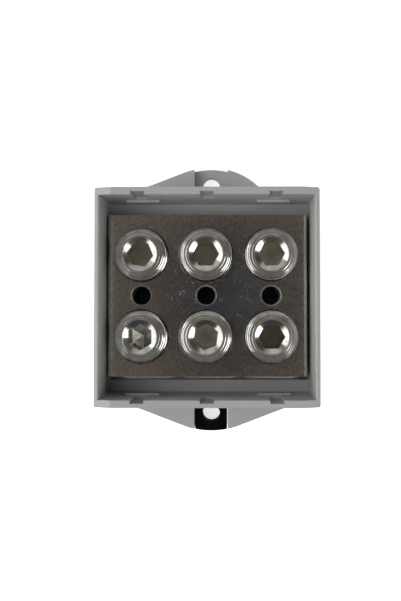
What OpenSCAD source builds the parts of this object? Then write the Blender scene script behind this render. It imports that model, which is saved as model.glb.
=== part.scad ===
// Distribution terminal block for three through conductors. A plated bus bar with six clamp screws
// sits in an open moulded housing that clips on a 35 mm rail or takes two panel screws.
// Millimetres. +Z points up out of the open box, +Y to the fixed rail hook, -Y to the rail latch.

/* [Terminal block] */
// Spacing of the conductor bores
bore_pitch = 17.4; // [17:0.1:24]
// Diameter of a conductor bore
bore_d = 13.4; // [12.6:0.1:14]
// Spacing of the two screws over one bore
row_pitch = 21.9; // [17:0.1:34]
// From an outer bore's axis to the side of the block
block_side = 9.45; // [8.5:0.05:14]
// Offset of the bores and screws from the block's middle
hole_off = -0.3; // [-0.5:0.05:0.5]
// Where the block lies in its side play, from the middle
block_shift = -0.25; // [-0.3:0.05:0.3]
// From a screw's axis to the end of the block
block_end = 10.7; // [8.5:0.05:20]
// Metal under the bores
block_floor = 2.9; // [2:0.1:8]
// Metal over the bores, which carries the threads
block_roof = 13.2; // [10:0.1:18]
// Radius of the block's edges along the bores
block_round = 0.9; // [0.3:0.1:1.5]
// Diameter of a sight hole
sight_d = 4.9; // [3:0.1:7]
// Chamfer at the mouths of the holes in the block
mouth_chamfer = 0.4; // [0.1:0.1:0.8]

/* [Clamp screws] */
// Diameter of the tapped holes
screw_d = 14; // [10:0.5:14]
// Radial play of a screw in its tapped hole
thread_play = 0.08; // [0.03:0.01:0.1]
// Length of a screw
screw_l = 14.5; // [12:0.5:14.5]
// Height of a backed-out screw over the block
screw_proud = 3.5; // [3:0.1:8]
// Diameter of a screw's flat point
point_d = 8; // [5:0.5:9]
// Length of the taper to the point
point_l = 3; // [2:0.1:4]
// Width of the chamfer at the top of a screw
head_chamfer = 1.7; // [0.5:0.1:2]
// Height of that chamfer
head_drop = 0.8; // [0.4:0.1:2]
// Hex key size across flats
key_af = 6; // [4:1:6]
// Depth of the straight part of the socket
key_depth = 8.5; // [4:0.5:9]
// Diameter of the countersink over the socket
key_mouth_d = 9; // [8:0.1:10]
// Depth of the countersink
key_mouth_h = 0.65; // [0.4:0.05:1.5]
// Depth of the socket's pointed floor
key_point = 1.5; // [0.5:0.1:2]

/* [Box] */
// Thickness of the side walls
side_wall = 1.1; // [1:0.1:3]
// Thickness of the end walls above the shelf
end_wall = 1.85; // [1.5:0.05:4]
// Thickness of the floor under the block
floor_t = 1.8; // [1.6:0.1:4]
// Play between the block and each side wall
side_play = 0.6; // [0.4:0.05:1.5]
// Gap between the block and the hook end's web
hook_gap = 0.5; // [0.3:0.05:2]
// Gap between the block and the latch end's web
latch_gap = 1.5; // [0.5:0.05:3]
// Height of the walls over the block
wall_rise = 11.5; // [9:0.5:20]
// Width of the shelf over the cable tunnels
shelf_w = 3.25; // [2:0.05:5]
// Wall over the tunnels up to the shelf
shelf_lip = 7.35; // [2:0.05:12]
// How much wider the tunnels and cover notches are spaced than the bores
pitch_more = 0.2; // [0:0.05:0.3]
// Play of the cable tunnels round the bores
tunnel_play = 0.05; // [0.05:0.05:0.2]
// Radius of the tunnels' corners
tunnel_r = 3; // [1:0.1:5]
// Width of the step round a tunnel's outer mouth
mouth_step = 0.8; // [0.2:0.1:1]
// Depth of the step
mouth_step_l = 1; // [0.5:0.1:1.5]
// Radius of the box's upright edges
corner_r = 0.5; // [0.3:0.1:2]
// Clearance between the block and its end stops
stop_play = 0.1; // [0.05:0.05:0.3]
// Height of the block's end stops
stop_h = 8; // [4:0.5:12]
// Width of an end stop
stop_w = 2; // [1:0.1:2.2]

/* [Rim] */
// How far the rim falls towards the side walls
rim_fall = 1.2; // [0.2:0.1:2]
// Width of the falling stretch at each side
rim_fall_w = 4.3; // [3:0.1:6]
// Width of a cover notch
notch_w = 3.5; // [2:0.1:6]
// Depth of a cover notch into the end wall
notch_deep = 0.8; // [0.4:0.1:1]
// Height of the outer cover notches
notch_h = 8.5; // [4:0.1:9]
// Height of the middle cover notch
notch_h_mid = 6.8; // [4:0.1:9]
// Length of a cover catch
catch_l = 8.8; // [5:0.1:12]
// How far a cover catch stands proud of the wall
catch_proud = 0.55; // [0.3:0.05:0.8]
// Height of a cover catch
catch_h = 1.2; // [0.8:0.1:2]
// From the rim down to the top of a catch
catch_drop = 9.7; // [9.2:0.1:11]

/* [Ears] */
// Height of the ears
ear_h = 6.8; // [5:0.1:8]
// Reach of an ear's tip past the end wall
ear_reach = 13.3; // [12:0.05:20]
// Reach of the base plate past the end wall at the box's corners
ear_corner = 4.1; // [3:0.1:6]
// Radius of an ear's tip
tip_r = 24; // [18:0.5:26]
// Tip radius of the flank that is cut back
cut_tip_r = 21.5; // [12:0.5:22]
// How far the cut-back flank stays inside the box's side
cut_inset = 7; // [1:0.1:8]
// Width of the channel across an ear
channel_w = 10.4; // [9:0.1:14]
// Thickness of the hook ear under its channel
channel_floor = 3.3; // [2:0.1:4]
// Diameter of the panel screw holes
ear_hole_d = 5.5; // [4:0.1:6.5]
// From an ear's tip to its hole
ear_hole_inset = 5.25; // [5:0.05:7]

/* [Rail mount] */
// Width of the rail
rail_w = 35; // [35:0.5:36]
// Depth of the recess for the rail
rail_recess = 4.2; // [4:0.1:6]
// Play of the rail at the hook side
rail_play = 0.3; // [0.1:0.1:0.5]
// Room for the rail to swing in at the latch side
rail_entry = 0.7; // [0.4:0.1:1]
// Thickness of the hooks
hook_t = 2.7; // [2:0.1:2.9]
// Reach of the hooks under the rail
hook_reach = 2.2; // [1.5:0.1:3]
// Length of a hook
hook_l = 12; // [8:0.5:16]
// Bevel where the rail meets the hooks and the latch
lead_in = 1.2; // [0.5:0.1:1.5]
// Reach of the latch under the rail
latch_bite = 2.1; // [1.5:0.1:3]
// Travel of the latch
latch_travel = 4.5; // [4:0.1:5]
// Play of the latch in its guide
latch_play = 0.25; // [0.1:0.05:0.4]
// Thickness of the guide's lips
lip_t = 1.2; // [0.8:0.1:1.5]
// Width of the guide's lips
lip_w = 1.5; // [1:0.1:2]
// Height of the guide's roof
guide_h = 3.2; // [3:0.1:3.4]
// Drop of the latch's head under the top of the ear
latch_drop = 0.3; // [0.1:0.1:1]
// Width of the latch's spring tongue
tongue_w = 4; // [3:0.1:5]
// Width of the slits beside the tongue
slit_w = 0.8; // [0.5:0.1:1]
// Height of the tongue's barb
barb_h = 1; // [0.6:0.1:1.2]
// Length of the tongue's barb
barb_l = 2.2; // [1.5:0.1:2.5]
// Ribs left between the pockets of the underside
rib_t = 1.6; // [1.2:0.1:2.5]

/* [Hidden] */
$fn = 64;
grey_plastic = "#a0a09d";
tin_plate = "#8d8981";
bright_zinc = "#c9cacb";
black_plastic = "#151515";

// Cuts run this far past the faces that they open
over = 1;
// Added pieces are rooted this deep in the wall that carries them
root = 0.4;
columns = [-1, 0, 1];
// Each socket stands where its screw stopped, in degrees
hook_turns = [-8, 0, 3];
latch_turns = [30, 22, 0];

block_w = 2 * bore_pitch + 2 * block_side;
block_l = row_pitch + 2 * block_end;
block_h = block_floor + bore_d + block_roof;
block_y = (latch_gap - hook_gap) / 2;
floor_z = rail_recess + floor_t;
bore_z = floor_z + block_floor + bore_d / 2;
block_top = floor_z + block_h;
rim_z = block_top + wall_rise;

inner_w = block_w + 2 * side_play;
body_w = inner_w + 2 * side_wall;
web_y = (block_l + hook_gap + latch_gap) / 2;
wall_y = web_y + shelf_w;
outer_y = wall_y + end_wall;
tunnel_pitch = bore_pitch + pitch_more;
hole_x = block_shift + hole_off;
tunnel_w = bore_d + 2 * (tunnel_play + abs(hole_x) + pitch_more);
tunnel_h = bore_d + 2 * tunnel_play;
shelf_z = bore_z + tunnel_h / 2 + shelf_lip;

tip_y = outer_y + ear_reach;
hole_y = tip_y - ear_hole_inset;

hook_y = rail_w / 2 + rail_play;
latch_y = rail_w / 2 + rail_entry;
nose_y = rail_w / 2 - latch_bite;
guide_w = channel_w - 2 * lip_w;
latch_w = channel_w - 2 * latch_play;
keel_w = guide_w - 2 * latch_play;
window_y = latch_y + rib_t / 2;
barb_y = window_y + latch_play;
window_l = barb_l + latch_travel + 2 * latch_play;
tongue_y = barb_y + window_l;

shank_r = screw_d / 2 - thread_play;

module along_x(length) {
    rotate([90, 0, 90]) linear_extrude(length, center = true) children();
}

module along_y(length) {
    rotate([90, 0, 0]) linear_extrude(length, center = true) children();
}

module both_ends() {
    children();
    mirror([0, 1, 0]) children();
}

module both_sides() {
    children();
    mirror([1, 0, 0]) children();
}

module rounded_rect(w, h, r) {
    square([w - 2 * r, h], center = true);
    square([w, h - 2 * r], center = true);
    for (x = [-1, 1], y = [-1, 1]) {
        translate([x * (w / 2 - r), y * (h / 2 - r)]) circle(r);
    }
}

// A block from one corner to the opposite one
module span(low, high) {
    translate(low) cube(high - low);
}

// Point where the flank from the corner of the base plate touches the arc of an ear's tip
function touch(r, corner) =
    let (
        centre = [0, tip_y - r],
        way = corner - centre,
        turn = atan2(way.y, way.x) + acos(min(1, r / norm(way)))
    )
    centre + r * [cos(turn), sin(turn)];

// Right half of an ear seen from above: a straight flank that runs into the round tip
module ear_half(r, corner) {
    meet = touch(r, corner);
    polygon([[0, wall_y], [corner.x, wall_y], corner, meet, [0, meet.y]]);
    intersection() {
        translate([0, tip_y - r]) circle(r, $fn = 128);
        translate([0, meet.y - root]) square([meet.x, tip_y - meet.y + over]);
    }
}

module ears() {
    full = [body_w / 2, outer_y + ear_corner];
    cut = [body_w / 2 - cut_inset, outer_y];
    linear_extrude(ear_h) {
        ear_half(cut_tip_r, cut);
        mirror([1, 0]) ear_half(tip_r, full);
        mirror([0, 1]) both_sides() ear_half(tip_r, full);
    }
}

// The box's outside, with the rim falling away towards the side walls
module box_outside() {
    intersection() {
        linear_extrude(rim_z) rounded_rect(body_w, 2 * outer_y, corner_r);
        along_y(2 * outer_y + over) polygon([
            [-body_w / 2, 0], [body_w / 2, 0], [body_w / 2, rim_z - rim_fall],
            [body_w / 2 - rim_fall_w, rim_z], [rim_fall_w - body_w / 2, rim_z],
            [-body_w / 2, rim_z - rim_fall]
        ]);
    }
}

// Room for the block, with a shelf over the tunnels at each end
module box_inside() {
    along_x(inner_w) polygon([
        [-web_y, floor_z], [web_y, floor_z], [web_y, shelf_z], [wall_y, shelf_z],
        [wall_y, rim_z + over], [-wall_y, rim_z + over], [-wall_y, shelf_z], [-web_y, shelf_z]
    ]);
}

module cable_tunnels() {
    for (column = columns) translate([column * tunnel_pitch, 0, bore_z]) {
        along_y(2 * outer_y + over) rounded_rect(tunnel_w, tunnel_h, tunnel_r);
        both_ends() translate([0, outer_y, 0]) along_y(2 * mouth_step_l)
            rounded_rect(tunnel_w + 2 * mouth_step, tunnel_h + 2 * mouth_step, tunnel_r + mouth_step);
    }
}

module cover_notches() {
    for (column = columns) translate([column * tunnel_pitch, 0, 0]) {
        height = column == 0 ? notch_h_mid : notch_h;
        both_ends() span([-notch_w / 2, wall_y - over, rim_z - height],
                         [notch_w / 2, wall_y + notch_deep, rim_z + over]);
    }
}

// The cover's hooks snap under these ribs
module cover_catches() {
    top = rim_z - catch_drop;
    both_sides() both_ends() translate([bore_pitch, 0, 0]) along_x(catch_l) polygon([
        [wall_y + root, top], [wall_y - catch_proud, top],
        [wall_y - catch_proud, top - catch_h / 2], [wall_y + root, top - catch_h]
    ]);
}

// Ribs on the webs between the tunnels, which keep the block in its place
module block_stops() {
    both_sides() translate([tunnel_pitch / 2, 0, 0]) {
        span([-stop_w / 2, web_y - hook_gap + stop_play, floor_z - root],
             [stop_w / 2, web_y + root, floor_z + stop_h]);
        span([-stop_w / 2, -web_y - root, floor_z - root],
             [stop_w / 2, latch_gap - stop_play - web_y, floor_z + stop_h]);
    }
}

module rail_space() {
    span([-body_w / 2 - over, -latch_y, -over], [body_w / 2 + over, hook_y, rail_recess]);
}

module rail_hooks() {
    both_sides() translate([body_w / 2 - hook_l / 2 - rib_t, 0, 0]) along_x(hook_l) polygon([
        [hook_y + root, 0], [hook_y - hook_reach + lead_in, 0], [hook_y - hook_reach, lead_in],
        [hook_y - hook_reach, hook_t], [hook_y + root, hook_t]
    ]);
}

// The T-shaped guide under the latch end, with a window for the barb in its roof
module latch_guide() {
    span([-channel_w / 2, -outer_y - over, lip_t], [channel_w / 2, -latch_y + over, guide_h]);
    span([-guide_w / 2, -outer_y - over, -over], [guide_w / 2, -latch_y + over, lip_t + root]);
    span([-tongue_w / 2 - latch_play, -window_y - window_l, guide_h - root],
         [tongue_w / 2 + latch_play, -window_y, guide_h + barb_h]);
}

module ear_channels() {
    span([-channel_w / 2, outer_y, channel_floor], [channel_w / 2, tip_y + over, ear_h + over]);
    span([-channel_w / 2, -tip_y - over, -over], [channel_w / 2, -outer_y, ear_h + over]);
}

// Pockets that keep the moulding's walls even, open at the underside
module pockets() {
    inner = channel_w / 2 + rib_t;
    outer = inner_w / 2;
    middle = (inner + outer) / 2;
    back = outer_y - end_wall;
    both_ends() both_sides() {
        span([inner, latch_y + rib_t, -over], [middle - rib_t / 2, back, rail_recess]);
        span([middle + rib_t / 2, latch_y + rib_t, -over], [outer, back, rail_recess]);
        span([inner, outer_y, -over], [middle - rib_t / 2, outer_y + ear_corner, channel_floor]);
    }
    span([rib_t / 2 - inner, hook_y + rib_t, -over], [inner - rib_t / 2, back, rail_recess]);
}

module housing() {
    color(grey_plastic) {
        difference() {
            union() {
                box_outside();
                ears();
            }
            box_inside();
            cable_tunnels();
            cover_notches();
            rail_space();
            latch_guide();
            ear_channels();
            pockets();
            translate([0, hole_y, -over]) cylinder(d = ear_hole_d, h = ear_h + 2 * over);
        }
        cover_catches();
        block_stops();
        rail_hooks();
    }
}

// A hole from the block's top down into a bore, with a chamfered mouth
module top_hole(d) {
    translate([0, 0, bore_z]) cylinder(d = d, h = block_top - bore_z + over);
    translate([0, 0, block_top - mouth_chamfer])
        cylinder(d1 = d, d2 = d + 4 * mouth_chamfer, h = 2 * mouth_chamfer);
}

module terminal_block() {
    color(tin_plate) translate([block_shift, block_y, 0]) difference() {
        translate([0, 0, floor_z + block_h / 2]) along_y(block_l)
            rounded_rect(block_w, block_h, block_round);
        for (column = columns) translate([hole_off + column * bore_pitch, 0, 0]) {
            translate([0, 0, bore_z]) rotate([90, 0, 0])
                cylinder(d = bore_d, h = block_l + over, center = true);
            both_ends() translate([0, block_l / 2 - mouth_chamfer, bore_z]) rotate([-90, 0, 0])
                cylinder(d1 = bore_d, d2 = bore_d + 4 * mouth_chamfer, h = 2 * mouth_chamfer);
            both_ends() translate([0, row_pitch / 2, 0]) top_hole(screw_d);
            top_hole(sight_d);
        }
    }
}

// One clamp screw, backed out so that its point clears the bore
module clamp_screw(column, row, turn) {
    axis = [hole_x + column * bore_pitch, block_y + row * row_pitch / 2];
    foot_z = block_top + screw_proud - screw_l;
    color(bright_zinc) translate([axis.x, axis.y, foot_z]) rotate(turn) difference() {
        rotate_extrude() polygon([
            [0, 0], [point_d / 2, 0], [shank_r, point_l], [shank_r, screw_l - head_drop],
            [shank_r - head_chamfer, screw_l], [0, screw_l]
        ]);
        translate([0, 0, screw_l - key_depth])
            cylinder(d = key_af / cos(30), h = key_depth + over, $fn = 6);
        translate([0, 0, screw_l - key_depth - key_point])
            cylinder(d1 = 0, d2 = key_af / cos(30), h = key_point, $fn = 6);
        translate([0, 0, screw_l - key_mouth_h])
            cylinder(d1 = key_af, d2 = 2 * key_mouth_d - key_af, h = 2 * key_mouth_h);
    }
}

// The latch's T-shaped strip, bevelled where the rail pushes it back
module latch_strip() {
    end_y = outer_y + over;
    difference() {
        union() {
            span([-latch_w / 2, -end_y, lip_t + latch_play], [latch_w / 2, -nose_y, guide_h - latch_play]);
            span([-keel_w / 2, -end_y, latch_play], [keel_w / 2, -nose_y, lip_t + root]);
        }
        along_x(latch_w + over) polygon([
            [-nose_y - lead_in, latch_play - over], [over - nose_y, latch_play - over],
            [over - nose_y, latch_play + lead_in + over], [-nose_y - lead_in, latch_play]
        ]);
    }
}

// Slits that free the spring tongue on three sides
module tongue_slits() {
    side = tongue_w / 2;
    both_sides() span([side, -tongue_y, -over], [side + slit_w, slit_w - barb_y, guide_h]);
    span([-side, -barb_y, -over], [side, slit_w - barb_y, guide_h]);
}

module rail_latch() {
    color(black_plastic) difference() {
        union() {
            difference() {
                latch_strip();
                tongue_slits();
            }
            span([-tongue_w / 2, -barb_y - barb_l, guide_h - root - latch_play],
                 [tongue_w / 2, -barb_y, guide_h + barb_h - latch_play]);
            intersection() {
                span([-latch_w / 2, -tip_y, latch_play],
                     [latch_w / 2, -outer_y - latch_play, ear_h - latch_drop]);
                translate([0, tip_r - tip_y, 0]) cylinder(r = tip_r, h = ear_h, $fn = 128);
            }
        }
        translate([0, -hole_y, -over]) cylinder(d = ear_hole_d, h = ear_h + 2 * over);
    }
}

housing();
terminal_block();
clamp_screw(-1, 1, hook_turns[0]);  // clamp_screw_hook_left
clamp_screw(0, 1, hook_turns[1]);  // clamp_screw_hook_middle
clamp_screw(1, 1, hook_turns[2]);  // clamp_screw_hook_right
clamp_screw(-1, -1, latch_turns[0]);  // clamp_screw_latch_left
clamp_screw(0, -1, latch_turns[1]);  // clamp_screw_latch_middle
clamp_screw(1, -1, latch_turns[2]);  // clamp_screw_latch_right
rail_latch();
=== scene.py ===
import math
import bmesh
import bpy
from mathutils import Matrix, Vector


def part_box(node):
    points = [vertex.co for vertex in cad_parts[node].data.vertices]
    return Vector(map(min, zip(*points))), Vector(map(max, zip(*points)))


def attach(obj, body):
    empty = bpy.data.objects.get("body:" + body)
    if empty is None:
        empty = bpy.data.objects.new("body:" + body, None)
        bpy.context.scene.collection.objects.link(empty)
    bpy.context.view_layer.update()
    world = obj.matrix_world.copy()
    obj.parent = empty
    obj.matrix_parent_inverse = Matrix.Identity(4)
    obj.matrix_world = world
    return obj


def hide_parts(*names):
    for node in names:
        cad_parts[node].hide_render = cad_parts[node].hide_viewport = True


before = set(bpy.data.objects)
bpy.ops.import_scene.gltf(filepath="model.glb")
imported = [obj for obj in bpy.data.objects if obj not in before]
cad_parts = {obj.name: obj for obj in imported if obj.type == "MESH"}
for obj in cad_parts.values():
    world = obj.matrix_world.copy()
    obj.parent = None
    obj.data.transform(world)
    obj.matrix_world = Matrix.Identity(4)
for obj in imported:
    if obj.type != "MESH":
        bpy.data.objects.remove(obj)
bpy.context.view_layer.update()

# Housing: one injection moulding in light grey polyamide with the fine matt skin of the tool. Box, ears,
# cable tunnels with flared inner mouths and rail hooks come out of the mould in one shot. The edges are
# only just softened. Their rounds are painted paler as a painted highlight, and the ear at the hook end
# is painted paler as painted light.
mm = 0.001
weld = 0.001 * mm
near = 0.02 * mm
flat_angle = math.radians(0.6)
corner_angle = math.radians(25)
crease_angle = math.radians(40)
housing_corner_angle = math.radians(12)
housing_edge = 0.25 * mm
side_wall = 1.1 * mm
rim_round = 0.35 * mm
rim_fall = 1.5 * mm
rim_least_length = 40 * mm
web_face = 22.65 * mm
tunnel_height = 13.5 * mm
tunnel_middle = 15.6 * mm
tunnel_top = tunnel_middle + tunnel_height / 2
flare = 2.6 * mm
ear_start = 28.25 * mm
ear_light = 0.6
edge_highlight = 0.6
flow_grain = 55
gloss_grain = 240
skin_grain = 5200
skin_depth = 0.02 * mm
housing_grey = (0.408, 0.408, 0.398, 1)
housing_shade = (0.380, 0.381, 0.373, 1)
housing_lit_tone = (0.62, 0.62, 0.61, 1)


def made_piece(bm, name, least_crease):
    """Turns a finished bmesh into a piece, shaded smooth between its creases."""
    mesh = bpy.data.meshes.new(name)
    bm.to_mesh(mesh)
    bm.free()
    mesh.shade_smooth()
    mesh.set_sharp_from_angle(angle=least_crease)
    piece = bpy.data.objects.new(name, mesh)
    bpy.context.collection.objects.link(piece)
    return piece


def softened_copy(node, name, radius, least_angle=corner_angle, shaped_first=None):
    """A copy of a solid with its sharp edges rounded; the rounded strips carry the attribute painted_light,
    which paints a highlight on them.
    """
    bm = bmesh.new()
    bm.from_mesh(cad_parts[node].data)
    bmesh.ops.remove_doubles(bm, verts=bm.verts, dist=weld)
    bmesh.ops.dissolve_limit(bm, angle_limit=flat_angle, verts=bm.verts, edges=bm.edges)
    painted_light = bm.verts.layers.float.new("painted_light")
    done = shaped_first(bm) if shaped_first else set()
    sharp = [e for e in bm.edges if e not in done and e.is_manifold and e.calc_face_angle(0) > least_angle]
    strips = bmesh.ops.bevel(bm, geom=sharp, offset=radius, offset_type="OFFSET", segments=2,
                             profile=0.5, affect="EDGES", clamp_overlap=True, material=-1)
    fresh = set(strips["faces"])
    for vert in strips["verts"]:
        if all(face in fresh for face in vert.link_faces):
            vert[painted_light] = 1
    piece = made_piece(bm, name, crease_angle)
    even = piece.modifiers.new("even_faces", "WEIGHTED_NORMAL")
    even.keep_sharp = True
    return piece


def new_finish(name):
    """An empty finish: the material, its node tree and its surface shader."""
    finish = bpy.data.materials.new(name)
    finish.use_nodes = True
    return finish, finish.node_tree, finish.node_tree.nodes["Principled BSDF"]


def feed(tree, node, feeds):
    """Feeds the inputs of a shader node, each from another node's output or with a plain value."""
    for socket, source in feeds.items():
        if hasattr(source, "is_output"):
            tree.links.new(source, node.inputs[socket])
        else:
            node.inputs[socket].default_value = source


def lay(tree, kind, feeds=None, **options):
    """Adds a shader node with its options and feeds its inputs."""
    node = tree.nodes.new("ShaderNode" + kind)
    for option, choice in options.items():
        setattr(node, option, choice)
    feed(tree, node, feeds or {})
    return node


def mark(tree, name):
    """The value that the mesh carries under a name."""
    return lay(tree, "Attribute", attribute_name=name).outputs["Fac"]


def reckon(tree, operation, *terms):
    """Arithmetic on plain numbers and other nodes' outputs."""
    return lay(tree, "Math", dict(enumerate(terms)), operation=operation).outputs[0]


def blend(tree, share, first, second):
    """Mixes two colours by a share."""
    return lay(tree, "Mix", {"Factor": share, 6: first, 7: second}, data_type="RGBA").outputs[2]


def spread(tree, source, low, high, out_low=0, out_high=1):
    """Maps a range of values to another one."""
    span = {"Value": source, "From Min": low, "From Max": high, "To Min": out_low, "To Max": out_high}
    return lay(tree, "MapRange", span).outputs["Result"]


def grain(tree, scale, detail=2.0, roughness=0.5, stretch=(1, 1, 1), turn=0.0):
    """Noise on the piece's own coordinates, in grains to the metre, turned about Z and stretched."""
    place = lay(tree, "TexCoord").outputs["Object"]
    fit = lay(tree, "Mapping", {"Vector": place, "Scale": [1 / s for s in stretch],
                                "Rotation": (0, 0, math.radians(turn))}, vector_type="TEXTURE")
    return lay(tree, "TexNoise", {"Vector": fit.outputs["Vector"], "Scale": scale, "Detail": detail,
                                  "Roughness": roughness}).outputs["Fac"]


def relief(tree, height, strength, depth):
    """Small relief for a surface."""
    bump = lay(tree, "Bump", {"Height": height, "Strength": strength, "Distance": depth})
    return bump.outputs["Normal"]


moulded_grey, tree, surface = new_finish("moulded_grey")
flow = spread(tree, grain(tree, flow_grain, detail=3), 0.3, 0.7)
shell_colour = blend(tree, flow, housing_shade, housing_grey)
# Rounded edges are painted paler as a painted highlight, and the ear at the hook end as painted light.
painted_light_share = reckon(tree, "MULTIPLY", mark(tree, "painted_light"), edge_highlight)
feed(tree, surface, {
    "Base Color": blend(tree, painted_light_share, shell_colour, housing_lit_tone),
    "Roughness": spread(tree, grain(tree, gloss_grain), 0.3, 0.7, 0.44, 0.58),
    "Normal": relief(tree, grain(tree, skin_grain), strength=0.25, depth=skin_depth),
})


def shape_housing(bm):
    """Flares the tunnels' inner mouths, rounds the side walls' inner rims and gives the rims' new edges."""
    for vert in bm.verts:
        at_mouth = abs(abs(vert.co.y) - web_face) < near
        if at_mouth and tunnel_middle < vert.co.z < tunnel_top + near:
            vert.co.z += flare * (vert.co.z - tunnel_middle) / (tunnel_top - tunnel_middle)
    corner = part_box("housing")[1] - Vector((side_wall, 0, rim_fall))

    def rims():
        return [e for e in bm.edges if e.calc_length() > rim_least_length and all(
            v.co.z > corner.z and abs(abs(v.co.x) - corner.x) < near for v in e.verts)]

    for end in [v.co.copy() for v in rims()[0].verts]:
        tops = [face for rim in rims() for face in rim.link_faces if face.normal.z > 0.5]
        cut = {part for face in tops for part in (face, *face.edges, *face.verts)}
        bmesh.ops.bisect_plane(bm, geom=list(cut), dist=weld, plane_co=end, plane_no=(0, 1, 0))
    return set(bmesh.ops.bevel(bm, geom=rims(), offset=rim_round, offset_type="OFFSET", segments=4,
                               profile=0.5, affect="EDGES", material=-1)["edges"])


housing = softened_copy("housing", "housing_shell", housing_edge, housing_corner_angle, shape_housing)
# The ear at the hook end takes part of the paler tone: painted light.
for vert, wear in zip(housing.data.vertices, housing.data.attributes["painted_light"].data):
    if vert.co.y > ear_start:
        wear.value = max(wear.value, ear_light)
housing.data.materials.append(moulded_grey)
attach(housing, "housing")
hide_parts("housing")

# Terminal block: one length of drawn aluminium bar, bored, tapped and then tin plated. It drops
# into the box, held by ribs at its ends. The plating keeps the drawn lines along the bores,
# and the keys and loose strands of the fitter have left short scratches between the screws.
block_edge = 0.12 * mm
drawn_lines = (2400, 700, 2400)
long_nicks = (3600, 480, 300)
long_nick_turn = 35
short_nicks = (5000, 1000, 300)
short_nick_turn = -60
scrape_grain = 260
scrape_dullness = 0.3
mottle_grain = 1900
cloud_grain = 70
tarnish_grain = 48
plate_depth = 0.01 * mm
rubbed_reach = 26 * mm
shade_reach = 3.6 * mm
shade_slack = 0.1 * mm
shade_half_width = 7 * mm
shade_floor = 1 * mm
shade_lip = 0.3 * mm
tin_dark = (0.47, 0.45, 0.42, 1)
tin_light = (0.82, 0.80, 0.76, 1)
tin_blue = (0.50, 0.53, 0.66, 1)
tin_tarnish = (0.74, 0.60, 0.53, 1)
tin_scratch = (0.95, 0.94, 0.91, 1)
hole_painted_shade = (0.07, 0.07, 0.07, 1)

tinned_bar, tree, surface = new_finish("tinned_bar")
drawn = spread(tree, grain(tree, 1, detail=3, roughness=0.6, stretch=drawn_lines), 0.3, 0.7)
mottle = spread(tree, grain(tree, mottle_grain, detail=3, roughness=0.65), 0.36, 0.64)
skin = reckon(tree, "ADD", drawn, mottle)
cloud = spread(tree, grain(tree, cloud_grain, detail=4, roughness=0.6), 0.38, 0.64)
block_low, block_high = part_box("terminal_block")
from_middle = lay(tree, "Mapping", {"Vector": lay(tree, "TexCoord").outputs["Object"],
                                    "Location": (block_low + block_high) / 2,
                                    "Scale": (rubbed_reach,) * 3}, vector_type="TEXTURE")
rubbed_middle = lay(tree, "TexGradient", {"Vector": from_middle.outputs["Vector"]},
                    gradient_type="SPHERICAL")
handled = spread(tree, rubbed_middle.outputs["Fac"], 0, 0.45)
haze = reckon(tree, "MULTIPLY", cloud, handled)
tarnish = spread(tree, grain(tree, tarnish_grain, detail=3, roughness=0.55), 0.5, 0.64, 0, 0.55)
long_marks = spread(tree, grain(tree, 1, stretch=long_nicks, turn=long_nick_turn), 0.63, 0.74)
short_marks = spread(tree, grain(tree, 1, stretch=short_nicks, turn=short_nick_turn), 0.62, 0.75)
nicks = reckon(tree, "MAXIMUM", long_marks, short_marks)
scrape_spots = spread(tree, grain(tree, scrape_grain), 0.38, 0.6, 0.1, 1)
scraped = reckon(tree, "MULTIPLY", nicks, reckon(tree, "MULTIPLY", scrape_spots, handled))
plate = blend(tree, spread(tree, skin, 0.3, 1.7), tin_dark, tin_light)
for share, tone in ((haze, tin_blue), (tarnish, tin_tarnish), (scraped, tin_scratch)):
    plate = blend(tree, share, plate, tone)
# Bore walls marked deep are painted near black and not metallic: painted shade in the holes.
deep = mark(tree, "deep")
gloss = spread(tree, cloud, 0, 1, 0.14, 0.19)
feed(tree, surface, {
    "Base Color": blend(tree, deep, plate, hole_painted_shade),
    "Metallic": spread(tree, deep, 0, 1, 1, 0),
    "Specular IOR Level": 0,
    "Roughness": reckon(tree, "MULTIPLY_ADD", scraped, scrape_dullness, gloss),
    "Normal": relief(tree, skin, strength=0.22, depth=plate_depth),
})

block = softened_copy("terminal_block", "bus_block", block_edge)
hook_low, hook_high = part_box("clamp_screw_hook_middle")
latch_low, latch_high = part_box("clamp_screw_latch_middle")
column_step = hook_low.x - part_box("clamp_screw_hook_left")[0].x
sight_middle = (hook_low + hook_high + latch_low + latch_high) / 4
bm = bmesh.new()
bm.from_mesh(block.data)
for side in (-1, 1):
    bmesh.ops.bisect_plane(bm, geom=bm.verts[:] + bm.edges[:] + bm.faces[:], dist=weld,
                           plane_co=sight_middle + Vector((0, side * shade_reach, 0)), plane_no=(0, 1, 0))
# Inside the bores beside the sight holes the plating is marked deep for painted shade.
hole_shade = bm.verts.layers.float.new("deep")
for vert in bm.verts:
    off_axis = vert.co - sight_middle
    off_axis.x -= column_step * round(off_axis.x / column_step)
    beside = abs(off_axis.x) < shade_half_width and abs(off_axis.y) < shade_reach + shade_slack
    if beside and block_low.z + shade_floor < vert.co.z < block_high.z - shade_lip:
        vert[hole_shade] = 1
bm.to_mesh(block.data)
bm.free()
block.data.materials.append(tinned_bar)
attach(block, "housing")
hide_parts("terminal_block")

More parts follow.
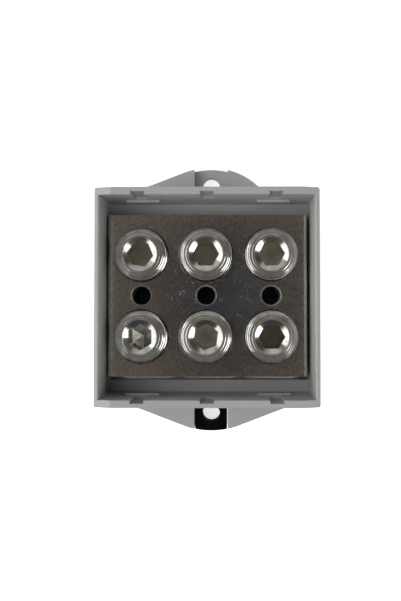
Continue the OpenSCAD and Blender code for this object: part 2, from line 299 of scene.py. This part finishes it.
# Clamp screws: six steel set screws, turned and thread rolled, with a forged hex socket and a
# countersink that guides the key, then zinc plated bright. Each is screwed into its own tapped
# hole of the block, backed out over an empty bore, and stopped at its own angle.
round_steps = 72
screw_root = 6.1
point_radius = 4.0
point_edge = 0.2
point_length = 3.0
collar_low = 1.6
collar_high = 1.25
crown_edge = 6.9
crown_rings = 44
crown_fall = 0.4
crown_dome = 0.12
crown_lip = 0.3
coarse_mark = 0.014
coarse_mark_rate = 9
fine_mark = 0.009
fine_mark_rate = 16
mark_sink = 0.02
mouth_radius = 4.5
mouth_depth = 0.65
key_flats = 6.15
key_floor = 6.0
socket_bore = 3.2
socket_reach = 3.7
socket_top = 12.0
thread_pitch = 1.5
thread_turns = 7.2
thread_start = 1.2
thread_flank = 0.47
thread_flat = 0.19
thread_sunk = 0.5
thread_skin = 0.02
screw_crease = math.radians(20)
patch_grain = 420
ring_grain = 4
ring_depth = 0.02 * mm
grime_dullness = 0.3
zinc_bright = (0.77, 0.765, 0.735, 1)
zinc_dull = (0.56, 0.555, 0.525, 1)
socket_brown = (0.52, 0.48, 0.38, 1)
socket_soot = (0.10, 0.09, 0.07, 1)
screws = {
    "clamp_screw_hook_left": {"turn": -8, "grime": 0.75, "floor_drop": 0.45},
    "clamp_screw_hook_middle": {"turn": 0, "grime": 0.9, "floor_drop": 0.3},
    "clamp_screw_hook_right": {"turn": 3, "grime": 0.65, "floor_drop": 0.7},
    "clamp_screw_latch_left": {"turn": 30, "grime": 0.25, "floor_drop": 1.5},
    "clamp_screw_latch_middle": {"turn": 22, "grime": 0.65, "floor_drop": 0.75},
    "clamp_screw_latch_right": {"turn": 0, "grime": 1.3, "floor_drop": 0.6},
}

bright_zinc, tree, surface = new_finish("bright_zinc")
patch = spread(tree, grain(tree, patch_grain, detail=3), 0.4, 0.68)
grimy = mark(tree, "grimy")
plated = blend(tree, patch, zinc_bright, zinc_dull)
dirty = blend(tree, grimy, plated, socket_brown)
sooty = spread(tree, grimy, 1, 2)
gloss = spread(tree, patch, 0, 1, 0.14, 0.21)
rings = lay(tree, "TexNoise", {"W": mark(tree, "turned"), "Scale": ring_grain, "Detail": 2},
            noise_dimensions="1D")
feed(tree, surface, {
    "Base Color": blend(tree, sooty, dirty, socket_soot),
    "Metallic": 1,
    "Roughness": reckon(tree, "MULTIPLY_ADD", grimy, grime_dullness, gloss),
    "Normal": relief(tree, rings.outputs["Fac"], strength=0.3, depth=ring_depth),
})


def lathe(bm, outline):
    """Turns an outline of radius and height round the axis."""
    points = [bm.verts.new((radius, 0, height)) for radius, height in outline]
    lines = [bm.edges.new(pair) for pair in zip(points, points[1:])]
    bmesh.ops.spin(bm, geom=points + lines, cent=(0, 0, 0), axis=(0, 0, 1), angle=2 * math.pi,
                   steps=round_steps, use_merge=True)
    bmesh.ops.remove_doubles(bm, verts=bm.verts, dist=weld / mm)


def crown_height(radius):
    """Height of the domed face under the screw's top, with the rings that the turning tool left."""
    out = (radius - mouth_radius) / (crown_edge - mouth_radius)
    coarse = coarse_mark * math.sin(coarse_mark_rate * radius)
    fine = fine_mark * math.sin(fine_mark_rate * radius + 1)
    dome = crown_fall * out + crown_dome * out ** 2 + crown_lip * out ** 6
    return (coarse + fine - mark_sink) * math.sin(math.pi * out) - dome


def press_hex(bm, length):
    """Presses the round socket to a hexagon, whose top meets the countersink in a curved line."""
    for vert in bm.verts:
        if abs(vert.co.xy.length - socket_bore) < near / mm:
            way = math.atan2(vert.co.y, vert.co.x)
            reach = key_flats / 2 / math.cos(way % (math.pi / 3) - math.pi / 6)
            vert.co.xy *= reach / vert.co.xy.length
            if vert.co.z > key_floor + near / mm:
                vert.co.z = length - mouth_depth * (mouth_radius - reach) / (mouth_radius - key_flats / 2)


def roll_thread(crest, taper):
    """The thread as one long ridge round the shank, cut back where the point tapers."""
    ridge = bmesh.new()
    crest_start = thread_start + thread_flank
    crest_end = crest_start + thread_flat
    end = crest_end + thread_flank
    tooth = [ridge.verts.new((radius, 0, height)) for radius, height in (
        (screw_root - thread_sunk, thread_start), (screw_root - thread_skin, thread_start),
        (crest, crest_start), (crest, crest_end),
        (screw_root - thread_skin, end), (screw_root - thread_sunk, end))]
    face = ridge.faces.new(tooth)
    bmesh.ops.spin(ridge, geom=[face] + list(face.edges) + tooth, cent=(0, 0, 0), axis=(0, 0, 1),
                   dvec=(0, 0, thread_pitch / round_steps), angle=2 * math.pi * thread_turns,
                   steps=round(round_steps * thread_turns))
    for vert in ridge.verts:
        room = point_radius + vert.co.z * taper - thread_skin
        if vert.co.xy.length > room:
            vert.co.xy *= room / vert.co.xy.length
    thread = bpy.data.meshes.new("thread")
    ridge.to_mesh(thread)
    ridge.free()
    return thread


def set_screw(node, turn, grime, floor_drop):
    """One set screw, made upright at the origin in millimetres, then put in its node's place."""
    low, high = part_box(node)
    length = (high.z - low.z) / mm
    crest = (high.x - low.x) / 2 / mm
    taper = (crest - point_radius) / point_length
    apex = key_floor - floor_drop
    point = [(0, 0), (point_radius - point_edge, 0), (point_radius, point_edge)]
    shank = [(screw_root, (screw_root - point_radius) / taper), (screw_root, length - collar_low),
             (crown_edge, length - collar_high)]
    ring_step = (mouth_radius - crown_edge) / crown_rings
    crown = [crown_edge + ring_step * ring for ring in range(crown_rings + 1)]
    socket = [(socket_bore, socket_top), (socket_bore, key_floor), (0, apex)]
    bm = bmesh.new()
    lathe(bm, point + shank + [(radius, length + crown_height(radius)) for radius in crown] + socket)
    press_hex(bm, length)
    thread = roll_thread(crest, taper)
    bm.from_mesh(thread)
    bpy.data.meshes.remove(thread)
    bmesh.ops.recalc_face_normals(bm, faces=bm.faces)
    ring_mark = bm.verts.layers.float.new("turned")
    grime_mark = bm.verts.layers.float.new("grimy")
    for vert in bm.verts:
        vert[ring_mark] = vert.co.xy.length - vert.co.z
        if vert.co.xy.length < socket_reach and apex - near / mm < vert.co.z < socket_top:
            vert[grime_mark] = grime
    foot = Vector(((low.x + high.x) / 2, (low.y + high.y) / 2, low.z))
    bmesh.ops.transform(bm, verts=bm.verts, matrix=Matrix.Translation(foot)
                        @ Matrix.Rotation(math.radians(turn), 4, "Z") @ Matrix.Scale(mm, 4))
    return made_piece(bm, node.replace("clamp_screw", "set_screw"), screw_crease)


for node, state in screws.items():
    screw = set_screw(node, **state)
    screw.data.materials.append(bright_zinc)
    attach(screw, node)
    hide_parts(node)

# Rail latch: a black polyamide slider with a spring tongue, pushed into the guide under the ear
# at its end of the box until its barb snaps into the window. A screwdriver in its hole pulls it back.
latch_edge = 0.15 * mm
scuff_grain = 300
latch_skin_grain = 4200
latch_black = (0.0022, 0.0023, 0.0023, 1)
latch_scuff_and_sheen = (0.006, 0.006, 0.006, 1)

black_slider, tree, surface = new_finish("black_slider")
scuff = spread(tree, grain(tree, scuff_grain, detail=4, roughness=0.6), 0.45, 0.7)
# Scuffs are paler, and the rounded edges are painted paler too: a painted highlight.
scuffs_and_edge_light = reckon(tree, "MAXIMUM", scuff, mark(tree, "painted_light"))
feed(tree, surface, {
    "Base Color": blend(tree, scuffs_and_edge_light, latch_black, latch_scuff_and_sheen),
    "Specular IOR Level": 0.02,
    "Roughness": spread(tree, scuff, 0, 1, 0.75, 0.9),
    "Normal": relief(tree, grain(tree, latch_skin_grain), strength=0.2, depth=skin_depth),
})

latch = softened_copy("rail_latch", "rail_slider", latch_edge)
latch.data.materials.append(black_slider)
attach(latch, "rail_latch")
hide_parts("rail_latch")

# Table: a plain pale sheet under the part. It stays white to the eye and to the metal, and the
# part's shadow still falls on it.
table_size = 20.0
table_gap = 0.1 * mm
table_glow = 0.7
sheet_white = (0.82, 0.82, 0.82, 1)


def in_sight(tree):
    """1 for rays that see a surface straight, mirrored or through glass, and 0 for those that fill."""
    path = lay(tree, "LightPath").outputs
    seen = reckon(tree, "ADD", path["Is Camera Ray"], path["Is Glossy Ray"])
    shown = lay(tree, "Math", {0: seen, 1: path["Is Transmission Ray"]}, operation="ADD", use_clamp=True)
    return shown.outputs[0]


pale_sheet, tree, surface = new_finish("pale_sheet")
feed(tree, surface, {
    "Base Color": sheet_white,
    "Roughness": 0.9,
    "Emission Color": (1, 1, 1, 1),
    "Emission Strength": reckon(tree, "MULTIPLY", in_sight(tree), table_glow),
})

bm = bmesh.new()
bmesh.ops.create_grid(bm, x_segments=1, y_segments=1, size=table_size / 2)
bmesh.ops.translate(bm, verts=bm.verts, vec=(0, 0, -table_gap))
table = made_piece(bm, "table_sheet", crease_angle)
table.data.materials.append(pale_sheet)

# Light: a white surround at the horizon, a wide glow from the left and three softboxes. The left and the
# back one show in the metal only, and the right one lights the part too. The room is dark straight
# overhead, where the camera hangs, and so the flat metal stays dark.
glow_from = (-0.69, -0.15, 0.71)
glow_focus = 4
glow_strength = 2.75
band_top = 0.26
band_strength = 8.6
light_aim = Vector((0, 0, 30 * mm))
horizon_tone = (1, 1, 1, 1)
zenith_tone = (0.02, 0.02, 0.02, 1)
room_tones = {
    0.2: (1, 1, 1, 1),
    0.32: (0.25, 0.25, 0.25, 1),
    0.58: (0.04, 0.04, 0.04, 1),
    0.74: (0.04, 0.04, 0.04, 1),
    0.82: (0.2, 0.2, 0.19, 1),
    0.95: (0.18, 0.16, 0.14, 1),
    0.983: (0.125, 0.104, 0.087, 1),
    0.9903: (0.09, 0.08, 0.069, 1),
    0.9945: (0.048, 0.046, 0.043, 1),
    0.9976: (0.028, 0.027, 0.026, 1),
}

world = bpy.data.worlds.new("room")
bpy.context.scene.world = world
world.use_nodes = True
tree = world.node_tree
way = lay(tree, "TexCoord").outputs["Generated"]
split = lay(tree, "SeparateXYZ", {"Vector": way}).outputs
facing = lay(tree, "VectorMath", {0: way, 1: glow_from}, operation="DOT_PRODUCT").outputs["Value"]
lobe = reckon(tree, "POWER", reckon(tree, "MAXIMUM", facing, 0), glow_focus)
low_band = spread(tree, split["Z"], 0, band_top, band_strength, 0)
band = reckon(tree, "MULTIPLY", low_band, reckon(tree, "POWER", split["X"], 2))
fill = reckon(tree, "MULTIPLY_ADD", lobe, glow_strength, band)
room = lay(tree, "ValToRGB", {"Fac": split["Z"]})
tones = room.color_ramp.elements
tones[0].color = horizon_tone
tones[1].color = zenith_tone
for height, tone in room_tones.items():
    tones.new(height).color = tone
feed(tree, tree.nodes["Background"], {"Color": blend(tree, in_sight(tree), fill, room.outputs["Color"])})


def softbox(name, place, width, height, watts, fills=True):
    """A rectangular lamp that faces the part, and that only metal shows where it doesn't fill."""
    lamp = bpy.data.lights.new(name, "AREA")
    lamp.shape = "RECTANGLE"
    lamp.size = width
    lamp.size_y = height
    lamp.energy = watts
    box = bpy.data.objects.new(name, lamp)
    box.location = place
    box.rotation_euler = (light_aim - Vector(place)).to_track_quat("-Z", "Y").to_euler()
    box.visible_diffuse = fills
    bpy.context.collection.objects.link(box)


softbox("left_box", place=(-0.735, -0.07, 0.70), width=1.1, height=0.45, watts=2.2, fills=False)
softbox("right_box", place=(0.68, -0.29, 0.70), width=0.5, height=0.4, watts=1.75)
softbox("back_strip", place=(-0.10, 0.70, 0.68), width=2.4, height=0.3, watts=1.0, fills=False)

# Camera: straight over the box, a little to the right, about 20 cm above the table. The lens is
# shifted a little, to set the part where it stands in the picture.
sensor_width = 36
focal_length = 39.05
shift_right = -0.0369
shift_up = -0.0227
camera_place = (5.435 * mm, -2.095 * mm, 210.26 * mm)
camera_tilt = (0.0281, 0.0089, -0.0007)

lens = bpy.data.cameras.new("camera")
lens.sensor_width = sensor_width
lens.lens = focal_length
lens.shift_x = shift_right
lens.shift_y = shift_up
camera = bpy.data.objects.new("camera", lens)
camera.location = camera_place
camera.rotation_euler = camera_tilt
bpy.context.collection.objects.link(camera)
bpy.context.scene.camera = camera
bpy.context.scene.view_settings.view_transform = "Standard"
